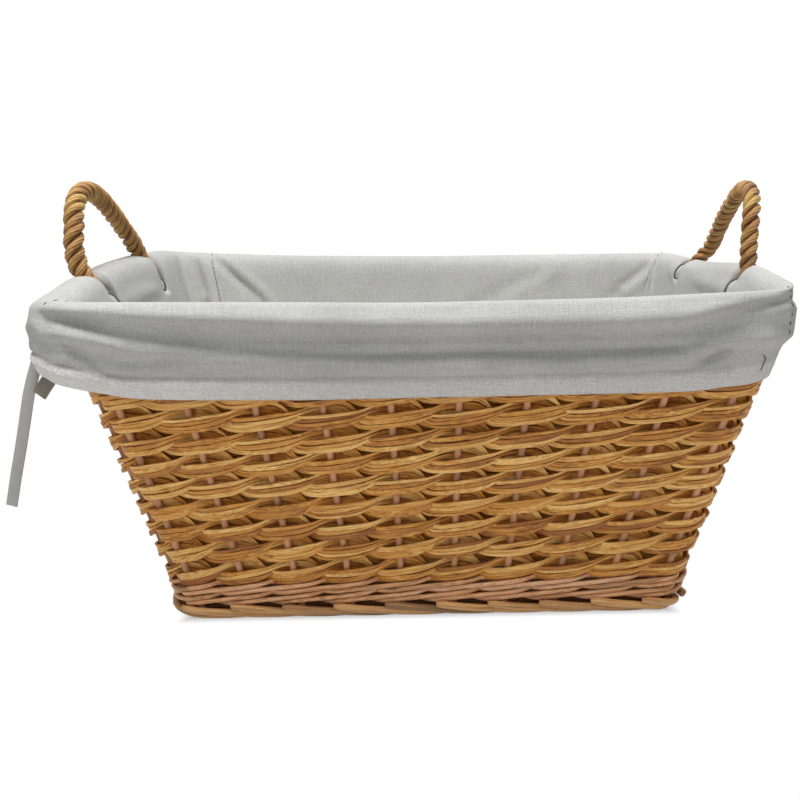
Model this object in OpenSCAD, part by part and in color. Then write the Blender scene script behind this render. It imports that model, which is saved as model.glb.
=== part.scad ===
// Rectangular wicker laundry basket: willow stakes woven with split strips,
// a rope handle at each end and a loose cotton liner folded over the rim.
// Millimetres. +Z is up, X runs along the basket, the origin is under its middle
// on the surface that it stands on.

/* [Basket] */
// Half length of the stake ring at the floor
base_half_x = 180; // [165:1:195]
// Half width of the stake ring at the floor
base_half_y = 112; // [100:1:124]
// Half length of the stake ring at the rim
top_half_x = 238; // [225:1:255]
// Half width of the stake ring at the rim
top_half_y = 170; // [158:1:185]
// Height of the axis of the top rim rod
rim_z = 230; // [228:1:250]
// Corner radius of the stake ring at the floor
base_corner_r = 13; // [12:1:18]
// Corner radius of the stake ring at the rim
top_corner_r = 17; // [15:1:24]

/* [Stakes] */
// Radius of an upright stake
stake_r = 2.5; // [2:0.1:2.8]
// Stakes in the front and in the back
side_stakes = 10; // [9:1:10]
// Stakes in each end
end_stakes = 7; // [6:1:7]

/* [Weave] */
// Height of the middle of the lowest row
first_row_z = 44.1; // [44:0.1:46]
// Distance from one row to the next
row_pitch = 17.25; // [17.2:0.05:17.6]
// Width of a strip
strip_w = 8.1; // [6:0.1:8.1]
// Thickness of a strip
strip_t = 1.6; // [1:0.1:2]

/* [Wale and foot] */
// Half thickness of a wale rod
wale_r = 1.75; // [1.5:0.05:1.8]
// Height of the middle of the lower wale
wale_z = 19.2; // [19:0.1:20]
// Radius of a foot rod
foot_r = 2.8; // [2:0.1:2.9]
// How much higher a foot rod starts than it ends
foot_drop = 8.3; // [7:0.1:9]

/* [Base mat] */
// Radius of a base stick
stick_r = 3.5; // [2.5:0.1:3.6]
// Strips woven across the base sticks
chip_count = 27; // [20:1:28]
// Width of a strip in the base mat
chip_w = 11; // [8:0.1:11.5]
// Thickness of a strip in the base mat
chip_t = 1.6; // [1:0.1:1.7]

/* [Rim] */
// Radius of the top rim rod, which the handles turn on
rim_rod_r = 4.5; // [3.8:0.1:4.6]
// Radius of the two side hoops that hold the stake tops
hoop_r = 3.4; // [2.5:0.1:3.5]
// How far the side hoops lie below the top rod
hoop_drop = 17; // [15:0.5:18]

/* [Handles] */
// Half the distance between the feet of a handle
handle_half_span = 70; // [60:1:78]
// Rise of the rope arch above its feet
handle_rise = 66; // [55:1:90]
// Radius of the rope
rope_r = 6.4; // [5:0.1:6.8]
// Length of one full turn of the rope's strands
rope_lay = 43; // [38:1:60]
// Lean of each handle away from the basket
handle_lean = 12; // [0:1:20]
// Outer radius of the rope eye around the top rod
eye_r = 9.2; // [8.4:0.1:9.3]
// Width of the rope eye along the rod
eye_w = 13; // [9:0.5:14]

/* [Liner] */
// Thickness of the cloth
cloth_t = 1.4; // [1:0.1:2]
// Radius of the inside of the cloth where it turns over the rim
fold_r = 10.1; // [9.8:0.1:11]
// Depth of the folded cuff below the top rim rod
cuff_drop = 58; // [45:1:70]
// Height of the hem at the edge of the cuff
hem_h = 12; // [8:0.5:16]
// Half width of the slot that a handle passes through
slot_half_w = 8; // [7.6:0.1:10]

/* [Ties] */
// Width of the cotton tape
tape_w = 8; // [6:0.5:10]
// Thickness of the cotton tape
tape_t = 1.2; // [0.8:0.1:1.6]
// Length of the short tab beside the long tape
tab_l = 20; // [14:1:26]

/* [Hidden] */
// Clearance between pieces that lie against each other
gap = 0.3;
// Clearance between woven pieces and the stakes
weave_gap = 0.4;
// Smoothness of round pieces
$fn = 32;
// Angle, in corner turns, of the ring next to a corner stake
near_turn = 0.25;
// Where the woven walls meet, in the middle of each corner
half_turn = 0.5 - 0.006;
// Flat steps that each half of a corner takes in the cloth
corner_steps = 4;

straw = "burlywood";
willow = "goldenrod";
dark_willow = "peru";
cloth = "gainsboro";
rope = "darkgoldenrod";

strip_out = stake_r + weave_gap + strip_t / 2;
strip_rise = strip_w / 2 + gap / 2 + 0.05;
wale_out = stake_r + weave_gap + wale_r;
wale_rise = 1.5 * (wale_r + gap / 2) + 0.05;
wale_pitch = 2 * (wale_rise + wale_r) + 3 * gap;
foot_out = stake_r + gap + foot_r;
stake_low = foot_r;
stick_z = chip_t + gap + stick_r;
mat_top = 2 * stick_z;
hoop_out = stake_r + gap + hoop_r;
crest_leg = 8;
panel_top = rim_z - crest_leg - gap;
floor_z = mat_top + gap;
cuff_low = rim_z - cuff_drop;
rope_foot = eye_r + 3.8;
tab_y = -150;
tab_z = 196;

// Route of the long tape, from the cuff's outer face to its free end
TAPE_ROUTE = [
    [-249.9, -147, 214.5], [-254, -147, 209], [-259, -148, 201], [-263.5, -149, 192],
    [-267, -150, 182], [-271.5, -150, 167], [-277.5, -150, 146], [-283.5, -150, 125],
    [-289, -150, 104]
];

// ---------- the tapered wall, which every woven piece follows ----------

// Walls 0 to 3 are the front, right, back and left, each run along anticlockwise
function share(z) = z / rim_z;
function half_x(z) = base_half_x + (top_half_x - base_half_x) * share(z);
function half_y(z) = base_half_y + (top_half_y - base_half_y) * share(z);
function corner_r(z) = base_corner_r + (top_corner_r - base_corner_r) * share(z);
function is_long(wall) = wall % 2 == 0;
function stakes_in(wall) = is_long(wall) ? side_stakes : end_stakes;
function wall_run(wall, z) = (is_long(wall) ? half_x(z) : half_y(z)) - corner_r(z);
function wall_reach(wall, z) = is_long(wall) ? half_y(z) : half_x(z);
function stakes_before(wall) =
    wall == 0 ? 0 : stakes_before(wall - 1) + stakes_in(wall - 1);
function turned(wall, p, z) =
    wall == 0 ? [p.x, p.y, z] :
    wall == 1 ? [-p.y, p.x, z] :
    wall == 2 ? [-p.x, -p.y, z] : [p.y, -p.x, z];

// Point of a wall at u stakes from its first one, out by n, at height z. A u below
// 0 or above the last stake goes round the corner, half of a corner to each wall
function wall_point(wall, u, n, z) =
    let (last = stakes_in(wall) - 1,
         r = corner_r(z),
         past = u < 0 ? -u : max(u - last, 0),
         side = u < 0 ? -1 : 1,
         along = (2 * min(max(u, 0), last) / last - 1) * wall_run(wall, z),
         angle = past * 90)
    turned(wall, [along + side * (r + n) * sin(angle),
                  r - wall_reach(wall, z) - (r + n) * cos(angle)], z);

// ---------- general shapes ----------

// Faces of one bar of four-sided rings, whose points start at number first
function bar_faces(rings, first = 0) = concat(
    [[for (j = [0:3]) first + j]],
    [for (i = [0:rings - 2], j = [0:3])
        let (a = first + 4 * i + j, b = first + 4 * i + (j + 1) % 4)
        each [[a, a + 4, b], [b, a + 4, b + 4]]],
    [[for (j = [3:-1:0]) first + 4 * (rings - 1) + j]]);

// Several separate bars, each a list of four-sided rings
module bars(all) {
    counts = [for (bar = all) len(bar)];
    function before(i) = i == 0 ? 0 : before(i - 1) + 4 * counts[i - 1];
    points = [for (bar = all, ring = bar) each ring];
    faces = [for (i = [0:len(all) - 1]) each bar_faces(counts[i], before(i))];
    polyhedron(points, faces, convexity = 10);
}

// Round rod from point a to point b
module rod(a, b, r) {
    d = b - a;
    length = norm(d);
    translate(a)
        rotate([0, acos(d.z / length), atan2(d.y, d.x)])
            cylinder(h = length, r = r);
}

// Rod bends and straights meet exactly when their ends lie on whole hundredths
function whole(v) = round(v * 100) / 100;

// Round rod bent into a ring of rounded corners, out by n at height z
module hoop(z, n, r) {
    bend = whole(corner_r(z) + n);
    long_run = whole(half_x(z) - corner_r(z));
    short_run = whole(half_y(z) - corner_r(z));
    for (side = [-1, 1]) {
        translate([-long_run, side * (short_run + bend), z])
            rotate([0, 90, 0]) cylinder(h = 2 * long_run, r = r);
        translate([side * (long_run + bend), short_run, z])
            rotate([90, 0, 0]) cylinder(h = 2 * short_run, r = r);
    }
    for (quarter = [0:3])
        rotate(quarter * 90)
            translate(quarter % 2 == 0 ? [long_run, short_run, z] : [short_run, long_run, z])
                rotate_extrude(angle = 90) translate([bend, 0]) circle(r = r);
}

// ---------- weaving ----------

// Stakes that a strand passes outside as it rises, and then inside as it falls
PAIRED = [1, 1];
THREE_ROD = [2, 1];

// How far out and up a strand is at stake g, counted round the basket. Each strand
// of a row is one stake behind the next, so a row has as many as a pattern has stakes
function strand_place(g, strand, pattern, out, rise) =
    let (cycle = pattern[0] + pattern[1],
         m = (g + strand + cycle + near_turn) % cycle,
         outside = m < pattern[0],
         sign = outside ? 1 : -1,
         lap = outside ? m : m - pattern[0],
         hold = (outside ? pattern[0] : pattern[1]) - 2 * near_turn,
         held = min(lap / hold, 1),
         crossing = max(lap - hold, 0) / (2 * near_turn))
    [sign * out * (1 - 2 * crossing), sign * rise * (2 * held - 1)];

// Where a strand needs rings along a wall: at each crossing and round the corners
function strand_stations(wall, strand, pattern) =
    let (last = stakes_in(wall) - 1, g0 = stakes_before(wall),
         cycle = pattern[0] + pattern[1])
    concat([-half_turn, -near_turn],
        [for (k = [0:last - 1])
            let (passed = (g0 + k + strand) % cycle)
            if (passed == pattern[0] - 1 || passed == cycle - 1)
                each [k + near_turn, k + 1 - near_turn]],
        [last + near_turn, last + half_turn]);

// One strand along one wall, its section a list of four [out, up] corners
function strand_bar(wall, strand, pattern, z, out, rise, section) =
    let (last = stakes_in(wall) - 1, g0 = stakes_before(wall))
    [for (u = strand_stations(wall, strand, pattern))
        let (place = strand_place(g0 + u, strand, pattern, out, rise),
             beside = abs(u + near_turn) < 0.01 || abs(u - last - near_turn) < 0.01,
             spring = (corner_r(z) + out) * (1 / cos(90 * near_turn) - 1),
             n = place[0] + (beside && place[0] > 0 ? spring : 0),
             up = z + place[1])
        [for (corner = section) wall_point(wall, u, n + corner[0], up + corner[1])]];

// A row of strands that twist round each other between the stakes
module woven_row(z, pattern, out, rise, section) {
    bars([for (wall = [0:3], strand = [0:pattern[0] + pattern[1] - 1])
        strand_bar(wall, strand, pattern, z, out, rise, section)]);
}

module weave_row(number) {
    t = strip_t / 2;
    w = strip_w / 2;
    color(number % 2 == 0 ? willow : dark_willow)
        woven_row(first_row_z + (number - 1) * row_pitch, PAIRED, strip_out, strip_rise,
            [[-t, -w], [t, -w], [t, w], [-t, w]]);
}

module wale(number) {
    color(straw)
        woven_row(wale_z + number * wale_pitch, THREE_ROD, wale_out, wale_rise,
            [[0, -wale_r], [wale_r, 0], [0, wale_r], [-wale_r, 0]]);
}

module stakes(wall) {
    top = rim_z - rim_rod_r - gap - stake_r * 0.3;
    color(dark_willow)
        for (k = [0:stakes_in(wall) - 1])
            rod(wall_point(wall, k, 0, stake_low), wall_point(wall, k, 0, top), stake_r);
}

// The foot: one slanting rod to each stake, laid like shingles
module foot(wall) {
    pitch = 2 * wall_run(wall, 0) / (stakes_in(wall) - 1);
    steepness = tan(asin((2 * foot_r + gap) / pitch));
    reach = foot_drop / steepness / 2;
    last = stakes_in(wall) - 1;
    color(dark_willow)
        for (k = [0:last]) {
            along = (2 * k / last - 1) * wall_run(wall, 0);
            high = foot_r + foot_drop;
            rod(turned(wall, [along - reach, -wall_reach(wall, high) - foot_out], high),
                turned(wall, [along + reach, -wall_reach(wall, foot_r) - foot_out], foot_r),
                foot_r);
        }
}

// ---------- rim ----------

module rim_top_rod() {
    color(dark_willow) hoop(rim_z, 0, rim_rod_r);
}

// Side hoop inside (-1) or outside (1) the stake tops
module rim_hoop(side) {
    color(dark_willow) hoop(rim_z - hoop_drop, side * hoop_out, hoop_r);
}

// ---------- base mat ----------

function stick_y(k) = (2 * k / (end_stakes - 1) - 1) * wall_run(1, stick_z);

module base_sticks() {
    reach = half_x(stick_z) - stake_r / cos(20) - weave_gap;
    color(straw)
        for (k = [0:end_stakes - 1])
            translate([-reach, stick_y(k), stick_z])
                rotate([0, 90, 0]) cylinder(h = 2 * reach, r = stick_r);
}

// Outline of one flat strip that passes over and under the base sticks
function chip_line(first) =
    let (swing = stick_r + gap + chip_t / 2, flat = stick_r + 1.5,
         end = half_y(stick_z) - stake_r - weave_gap)
    concat([[-end, stick_z + first * swing]],
        [for (k = [0:end_stakes - 1], side = [-1, 1])
            [stick_y(k) + side * flat, stick_z + first * swing * (k % 2 == 0 ? 1 : -1)]],
        [[end, stick_z + first * swing * (end_stakes % 2 == 1 ? 1 : -1)]]);

module base_strips() {
    field = 2 * (half_x(stick_z) - stake_r - weave_gap - chip_w / 2);
    color(willow)
        for (j = [0:chip_count - 1]) {
            line = chip_line(j % 2 == 0 ? 1 : -1);
            turns = len(line);
            outline = concat([for (p = line) p - [0, chip_t / 2]],
                [for (i = [turns - 1:-1:0]) line[i] + [0, chip_t / 2]]);
            translate([field * (j / (chip_count - 1) - 0.5) - chip_w / 2, 0, 0])
                rotate([90, 0, 90]) linear_extrude(chip_w) polygon(outline);
        }
}

// ---------- handles ----------

// Point of the rope's middle, at angle t of its arch, from the middle of the rod
function arch(t) = [0, -handle_half_span * cos(t), rope_foot + handle_rise * sin(t)];
function arch_out(t) =
    let (v = [0, -cos(t) / handle_half_span, sin(t) / handle_rise]) v / norm(v);
arch_length = PI * (handle_half_span + handle_rise) / 2;
strand_r = rope_r / (1 + 2 / sqrt(3)) - 0.1;
strand_orbit = rope_r - strand_r - 0.1;

// Rings of one of the rope's three strands
function rope_strand(number) =
    let (turns = arch_length / rope_lay, steps = ceil(turns * 5))
    [for (i = [0:steps])
        let (t = 180 * i / steps,
             phase = 360 * (turns * i / steps + number / 3),
             across = arch_out(t),
             middle = arch(t)
                 + strand_orbit * (cos(phase) * across + sin(phase) * [1, 0, 0]))
        [for (j = [0:3])
            let (a = phase + 90 * j)
            middle + strand_r * (cos(a) * across + sin(a) * [1, 0, 0])]];

// Puts a handle's shape at its rod; side is -1 on the left and 1 on the right
module at_handle(side) {
    translate([side * top_half_x, 0, rim_z]) rotate([0, side * handle_lean, 0]) children();
}

module handle_rope(side) {
    color(rope) at_handle(side) bars([for (number = [0:2]) rope_strand(number)]);
}

// The rope's two ends, each turned round the top rod and bound
module handle_eyes(side) {
    color(rope) at_handle(side)
        for (foot = [-1, 1])
            translate([0, foot * handle_half_span, 0])
                difference() {
                    union() {
                        rotate([90, 0, 0]) cylinder(h = eye_w, r = eye_r, center = true);
                        cylinder(h = rope_foot - gap, r = rope_r - 1.2);
                    }
                    rotate([90, 0, 0])
                        cylinder(h = eye_w * 2, r = rim_rod_r + gap, center = true);
                }
}

// ---------- liner ----------

// A sheet of cloth that follows one wall, from n0 to n1 out and z0 to z1 high
module wall_sheet(wall, n0, n1, z0, z1) {
    last = stakes_in(wall) - 1;
    bend = [for (step = [corner_steps:-1:0]) -half_turn * step / corner_steps];
    turns = concat(bend, [for (i = [corner_steps:-1:0]) last - bend[i]]);
    bars([[for (u = turns)
        [wall_point(wall, u, n0, z0), wall_point(wall, u, n1, z0),
         wall_point(wall, u, n1, z1), wall_point(wall, u, n0, z1)]]]);
}

module liner_panel(wall) {
    color(cloth) wall_sheet(wall, -fold_r - cloth_t, -fold_r, floor_z + cloth_t + gap, panel_top);
}

module cuff_panel(wall) {
    color(cloth) wall_sheet(wall, fold_r, fold_r + cloth_t, cuff_low, panel_top);
}

module cuff_hem() {
    face = fold_r + cloth_t + gap;
    color(cloth)
        for (wall = [0:3])
            wall_sheet(wall, face, face + cloth_t, cuff_low, cuff_low + hem_h);
}

function floor_outline() =
    let (x = half_x(floor_z) - fold_r - gap, y = half_y(floor_z) - fold_r - gap,
         r = base_corner_r - fold_r)
    [for (quarter = [0:3], step = [0:3])
        let (a = quarter * 90 + step * 30,
             sx = quarter == 0 || quarter == 3 ? 1 : -1, sy = quarter < 2 ? 1 : -1)
        [sx * (x - r) + r * cos(a), sy * (y - r) + r * sin(a)]];

module liner_floor() {
    color(cloth) translate([0, 0, floor_z]) linear_extrude(cloth_t) polygon(floor_outline());
}

// Section of the cloth where it turns over the rim, with the outside at the right
function crest_section() =
    let (lean = crest_leg * (top_half_x - base_half_x) / rim_z, outer = fold_r + cloth_t)
    concat([[outer - lean, -crest_leg]],
        [for (a = [0:15:180]) outer * [cos(a), sin(a)]],
        [[-outer - lean, -crest_leg], [-fold_r - lean, -crest_leg]],
        [for (a = [180:-15:0]) fold_r * [cos(a), sin(a)]],
        [[fold_r - lean, -crest_leg]]);

// A straight length of the fold along a wall, from s0 to s1 of its run
module crest_run(wall, s0, s1) {
    rotate(wall * 90)
        translate([s1, -wall_reach(wall, rim_z), rim_z])
            rotate([90, 0, -90]) linear_extrude(s1 - s0) polygon(crest_section());
}

module cuff_crest() {
    long_run = wall_run(0, rim_z);
    end_run = wall_run(1, rim_z);
    slot = [handle_half_span - slot_half_w, handle_half_span + slot_half_w];
    color(cloth) {
        for (wall = [0, 2]) crest_run(wall, -long_run, long_run);
        for (wall = [1, 3]) {
            crest_run(wall, -end_run, -slot[1]);
            crest_run(wall, -slot[0], slot[0]);
            crest_run(wall, slot[1], end_run);
        }
        for (quarter = [0:3])
            rotate(quarter * 90)
                translate(quarter % 2 == 0
                        ? [long_run + gap / 2, end_run + gap / 2, rim_z]
                        : [end_run + gap / 2, long_run + gap / 2, rim_z])
                    rotate_extrude(angle = 90)
                        translate([top_corner_r, 0]) polygon(crest_section());
    }
}

// ---------- ties ----------

// Flat eight-sided section of the tape across a route that runs down
function tape_ring(p) =
    [for (a = [22.5:45:337.5]) p + [tape_w / 2 * cos(a), tape_t / 2 * sin(a), 0]];

module tie_tape() {
    rings = len(TAPE_ROUTE);
    points = [for (p = TAPE_ROUTE) each tape_ring(p)];
    sides = [for (i = [0:rings - 2], j = [0:7])
        let (a = 8 * i + j, b = 8 * i + (j + 1) % 8)
        each [[a, b, a + 8], [b, b + 8, a + 8]]];
    color(cloth)
        polyhedron(points, concat([[for (j = [7:-1:0]) j]], sides,
            [[for (j = [0:7]) 8 * (rings - 1) + j]]), convexity = 4);
}

// Short doubled tab sewn to the cuff beside the tape
module tie_tab() {
    face = -half_x(tab_z) - fold_r - cloth_t - gap;
    color(cloth)
        translate([face - tape_t, tab_y, tab_z - tab_l])
            cube([tape_t, tape_w, tab_l]);
}

// ---------- every node ----------

base_sticks();
base_strips();
stakes(0);  // stakes_front
stakes(1);  // stakes_right
stakes(2);  // stakes_back
stakes(3);  // stakes_left
foot(0);  // foot_front
foot(1);  // foot_right
foot(2);  // foot_back
foot(3);  // foot_left
wale(0);  // wale_lower
wale(1);  // wale_upper
weave_row(1);  // weave_row_01
weave_row(2);  // weave_row_02
weave_row(3);  // weave_row_03
weave_row(4);  // weave_row_04
weave_row(5);  // weave_row_05
weave_row(6);  // weave_row_06
weave_row(7);  // weave_row_07
weave_row(8);  // weave_row_08
weave_row(9);  // weave_row_09
weave_row(10);  // weave_row_10
rim_hoop(-1);  // rim_inner_hoop
rim_hoop(1);  // rim_outer_hoop
rim_top_rod();
handle_rope(-1);  // handle_left_rope
handle_eyes(-1);  // handle_left_eyes
handle_rope(1);  // handle_right_rope
handle_eyes(1);  // handle_right_eyes
liner_floor();
liner_panel(0);  // liner_front
liner_panel(1);  // liner_right
liner_panel(2);  // liner_back
liner_panel(3);  // liner_left
cuff_crest();
cuff_panel(0);  // cuff_front
cuff_panel(1);  // cuff_right
cuff_panel(2);  // cuff_back
cuff_panel(3);  // cuff_left
cuff_hem();
tie_tab();
tie_tape();
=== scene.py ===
"""Dresses the wicker laundry basket: woven willow, rope handles and a cotton liner."""

import math
import random

import bpy
import numpy as np
from bpy.props import FloatProperty, FloatVectorProperty, IntProperty, PointerProperty
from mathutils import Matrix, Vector, noise


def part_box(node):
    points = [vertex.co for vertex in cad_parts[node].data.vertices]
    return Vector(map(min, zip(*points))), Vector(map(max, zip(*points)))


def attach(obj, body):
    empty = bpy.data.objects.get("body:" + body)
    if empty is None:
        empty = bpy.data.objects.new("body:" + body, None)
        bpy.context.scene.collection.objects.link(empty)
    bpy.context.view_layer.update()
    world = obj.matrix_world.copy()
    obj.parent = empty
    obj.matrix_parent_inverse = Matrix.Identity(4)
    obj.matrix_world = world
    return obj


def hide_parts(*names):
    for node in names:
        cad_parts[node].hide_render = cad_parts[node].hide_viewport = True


bl_info = {
    "name": "Wicker laundry basket",
    "version": (1, 0, 0),
    "blender": (4, 5, 0),
    "location": "3D View > Sidebar > Basket",
    "description": "Builds a lined wicker basket round its packed frame",
    "category": "Object",
}

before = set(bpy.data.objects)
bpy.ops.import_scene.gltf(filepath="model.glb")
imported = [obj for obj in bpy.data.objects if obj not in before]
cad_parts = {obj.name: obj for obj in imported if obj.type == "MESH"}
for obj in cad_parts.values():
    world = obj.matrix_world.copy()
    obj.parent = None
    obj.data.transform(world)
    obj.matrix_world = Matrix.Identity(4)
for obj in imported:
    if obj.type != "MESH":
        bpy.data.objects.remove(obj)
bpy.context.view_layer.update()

# ---------- the tapered wall, measured on the frame ----------

SIDE_STAKES = 10
END_STAKES = 7
WALLS = (SIDE_STAKES, END_STAKES, SIDE_STAKES, END_STAKES)
WALL_STARTS = np.cumsum((0,) + WALLS[:3])
STAKES = sum(WALLS)
ROWS = 10
FLOOR_CORNER = 0.013
RIM_CORNER = 0.017

rim_low, rim_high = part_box("rim_top_rod")
ROD_R = (rim_high.z - rim_low.z) / 2
RIM_Z = (rim_high.z + rim_low.z) / 2
RIM_X = rim_high.x - ROD_R
RIM_Y = rim_high.y - ROD_R
first_low, first_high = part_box("weave_row_01")
last_low, last_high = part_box(f"weave_row_{ROWS:02d}")
SLOPE = (last_high.x - first_high.x) / (last_high.z - first_high.z)
FLOOR_X = RIM_X - SLOPE * RIM_Z
FLOOR_Y = RIM_Y - SLOPE * RIM_Z
FIRST_ROW = (first_low.z + first_high.z) / 2
ROW_PITCH = (last_high.z - first_high.z) / (ROWS - 1)
STAKE_R = 0.0025
HOOP_DROP = 0.017


def ring(g, out, z):
    """Points g stakes round the wall, out from its middle, at height z."""
    g, out, z = np.broadcast_arrays(np.asarray(g, float) % STAKES, out, z)
    wall = np.searchsorted(WALL_STARTS, g, side="right") - 1
    last = np.array(WALLS)[wall] - 1
    step = g - WALL_STARTS[wall]
    turn = np.maximum(step - last, 0) * math.pi / 2
    share = z / RIM_Z
    radius = FLOOR_CORNER + (RIM_CORNER - FLOOR_CORNER) * share
    half_x = FLOOR_X + (RIM_X - FLOOR_X) * share
    half_y = FLOOR_Y + (RIM_Y - FLOOR_Y) * share
    long_wall = wall % 2 == 0
    run = np.where(long_wall, half_x, half_y) - radius
    reach = np.where(long_wall, half_y, half_x)
    along = (2 * np.minimum(step, last) / last - 1) * run + (radius + out) * np.sin(turn)
    across = radius - reach - (radius + out) * np.cos(turn)
    cos, sin = np.array([1, 0, -1, 0])[wall], np.array([0, 1, 0, -1])[wall]
    return np.stack([along * cos - across * sin, along * sin + across * cos, z], -1)


# ---------- settings ----------


def size(name, value, text):
    """A length that a user may change, in metres."""
    return FloatProperty(name=name, description=text, default=value, unit="LENGTH", precision=4)


def colour(name, value, text):
    """A colour that a user may change, written as it looks on screen."""
    linear = [c / 12.92 if c <= 0.04045 else ((c + 0.055) / 1.055) ** 2.4 for c in value]
    return FloatVectorProperty(
        name=name, description=text, default=linear, size=3, subtype="COLOR", min=0, max=1
    )


class BasketSizes(bpy.types.PropertyGroup):
    """Sizes of the pieces that are modelled here."""

    strip_width: size("Strand width", 0.0132, "Width of a bundle of split strips")
    strip_thickness: size("Strip thickness", 0.0015, "Thickness of one split strip")
    strip_out: size("Strand reach", 0.0041, "How far a bundle passes outside the stakes")
    strip_rise: size("Strand rise", 0.0050, "How far a bundle climbs from crossing to crossing")
    wale_radius: size("Wale rod radius", 0.0019, "Radius of the rods above the foot")
    foot_radius: size("Foot rod radius", 0.0031, "Radius of the bent rods of the foot")
    rope_radius: size("Rope radius", 0.0071, "Radius of the handle rope")
    rope_lay: size("Rope lay", 0.027, "Length of one turn of the rope's strands")
    cloth_thickness: size("Cloth thickness", 0.0009, "Thickness of the liner cloth")
    hem_height: size("Hem height", 0.0135, "Height of the hem along the cuff")
    tape_width: size("Tape width", 0.008, "Width of the cotton tape")
    grain_seed: IntProperty(name="Seed", description="Changes every chance detail", default=7)


class BasketColours(bpy.types.PropertyGroup):
    """Colours of the basket's finishes."""

    straw: colour("Straw", (1.0, 0.82, 0.50), "Palest willow strips")
    honey: colour("Honey", (0.865, 0.605, 0.245), "Most willow strips")
    toffee: colour("Toffee", (0.64, 0.385, 0.14), "Darkest willow strips")
    stake: colour("Stake", (0.82, 0.60, 0.44), "Upright stakes")
    rod: colour("Rod", (0.95, 0.72, 0.50), "Peeled rods of the wale")
    foot: colour("Foot", (0.86, 0.66, 0.43), "Rods of the foot")
    rope: colour("Rope", (0.86, 0.66, 0.40), "Rope handles")
    cloth: colour("Cloth", (0.772, 0.771, 0.757), "Cotton liner")
    hem: colour("Hem", (0.93, 0.92, 0.905), "Hem and tapes")
    tape: colour("Tape", (0.72, 0.71, 0.70), "Long tape")
    worn: colour("Worn tab", (0.56, 0.53, 0.48), "Short tab")
    thread: colour("Thread", (0.33, 0.33, 0.32), "Sewing thread at the corners")


# ---------- shader maths ----------


class Value:
    """A shader socket that takes part in sums."""

    def __init__(self, finish, socket):
        self.finish = finish
        self.socket = socket

    def sum_of(self, operation, *values):
        return self.finish.add("ShaderNodeMath", {"operation": operation}, values)

    def __add__(self, other):
        return self.sum_of("ADD", self, other)

    def __radd__(self, other):
        return self.sum_of("ADD", other, self)

    def __sub__(self, other):
        return self.sum_of("SUBTRACT", self, other)

    def __mul__(self, other):
        return self.sum_of("MULTIPLY", self, other)


class Finish:
    """A material, or the world, that is built node by node."""

    def __init__(self, name, kind="Material"):
        store = bpy.data.worlds if kind == "World" else bpy.data.materials
        self.holder = store.new(name)
        self.holder.use_nodes = True
        self.tree = self.holder.node_tree
        self.tree.nodes.clear()
        self.output = self.tree.nodes.new(f"ShaderNodeOutput{kind}")

    def add(self, kind, settings=None, inputs=(), output=0):
        """Adds a node: first its settings, then the values or links of its sockets."""
        node = self.tree.nodes.new(kind)
        for name, value in (settings or {}).items():
            if name == "stops":
                self.set_stops(node.color_ramp, value)
            else:
                setattr(node, name, value)
        pairs = inputs.items() if isinstance(inputs, dict) else enumerate(inputs)
        for key, value in pairs:
            if isinstance(value, Value):
                self.tree.links.new(value.socket, node.inputs[key])
            else:
                node.inputs[key].default_value = value
        return Value(self, node.outputs[output])

    @staticmethod
    def set_stops(ramp, stops):
        while len(ramp.elements) < len(stops):
            ramp.elements.new(1)
        for element, (place, shade) in zip(ramp.elements, stops):
            element.position = place
            element.color = (*shade, 1)

    def xyz(self, x, y, z=0.0):
        return self.add("ShaderNodeCombineXYZ", None, (x, y, z))

    def parts(self, vector):
        """The three numbers of a vector."""
        return [self.add("ShaderNodeSeparateXYZ", None, (vector,), i) for i in range(3)]

    def place(self):
        """Object coordinates."""
        return self.add("ShaderNodeTexCoord", None, (), "Object")

    def surface_place(self):
        """The piece's own UV map, in metres along and across."""
        return self.add("ShaderNodeUVMap", {"uv_map": "Lay"})

    def attribute(self, name):
        return self.add("ShaderNodeAttribute", {"attribute_name": name}, (), "Fac")

    def noise(self, vector, scale=1.0, detail=2.0, roughness=0.5, distortion=0.0):
        names = ("Vector", "Scale", "Detail", "Roughness", "Distortion")
        values = (vector, scale, detail, roughness, distortion)
        return self.add("ShaderNodeTexNoise", None, dict(zip(names, values)))

    def ramp(self, factor, stops):
        return self.add("ShaderNodeValToRGB", {"stops": stops}, {"Fac": factor})

    def grey(self, factor, low, high):
        """A number that goes from 0 to 1 between low and high."""
        return self.add("ShaderNodeMapRange", {"clamp": True}, {"Value": factor, 1: low, 2: high})

    def mix(self, factor, a, b, blend="MIX"):
        a, b = (
            c if isinstance(c, Value) else (*c, 1.0) if hasattr(c, "__len__") else c
            for c in (a, b)
        )
        settings = {"data_type": "RGBA", "blend_type": blend}
        return self.add("ShaderNodeMix", settings, {0: factor, 6: a, 7: b}, 2)

    def tint(self, base, by):
        """A colour multiplied by another."""
        return self.mix(1.0, base, by, "MULTIPLY")

    def seen_directly(self):
        """1 where the camera or a mirror sees the surface, and 0 where only light does."""
        outputs = ("Is Camera Ray", "Is Glossy Ray")
        rays = [self.add("ShaderNodeLightPath", None, (), output) for output in outputs]
        return self.add("ShaderNodeMath", {"operation": "MAXIMUM"}, rays)

    def end(self, shader):
        self.tree.links.new(shader.socket, self.output.inputs["Surface"])
        return self.holder

    def finish(self, base, roughness, height=None, strength=0.0, distance=0.0):
        """Ends the material in one surface shader, with the relief of its fine grain."""
        sockets = {"Base Color": base, "Roughness": roughness}
        if height is not None:
            relief = {"Height": height, "Strength": strength, "Distance": distance}
            sockets["Normal"] = self.add("ShaderNodeBump", None, relief)
        return self.end(self.add("ShaderNodeBsdfPrincipled", None, sockets))


def shade(colour, by):
    """A colour made lighter or darker."""
    return tuple(min(1.0, c * by) for c in colour)


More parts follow.
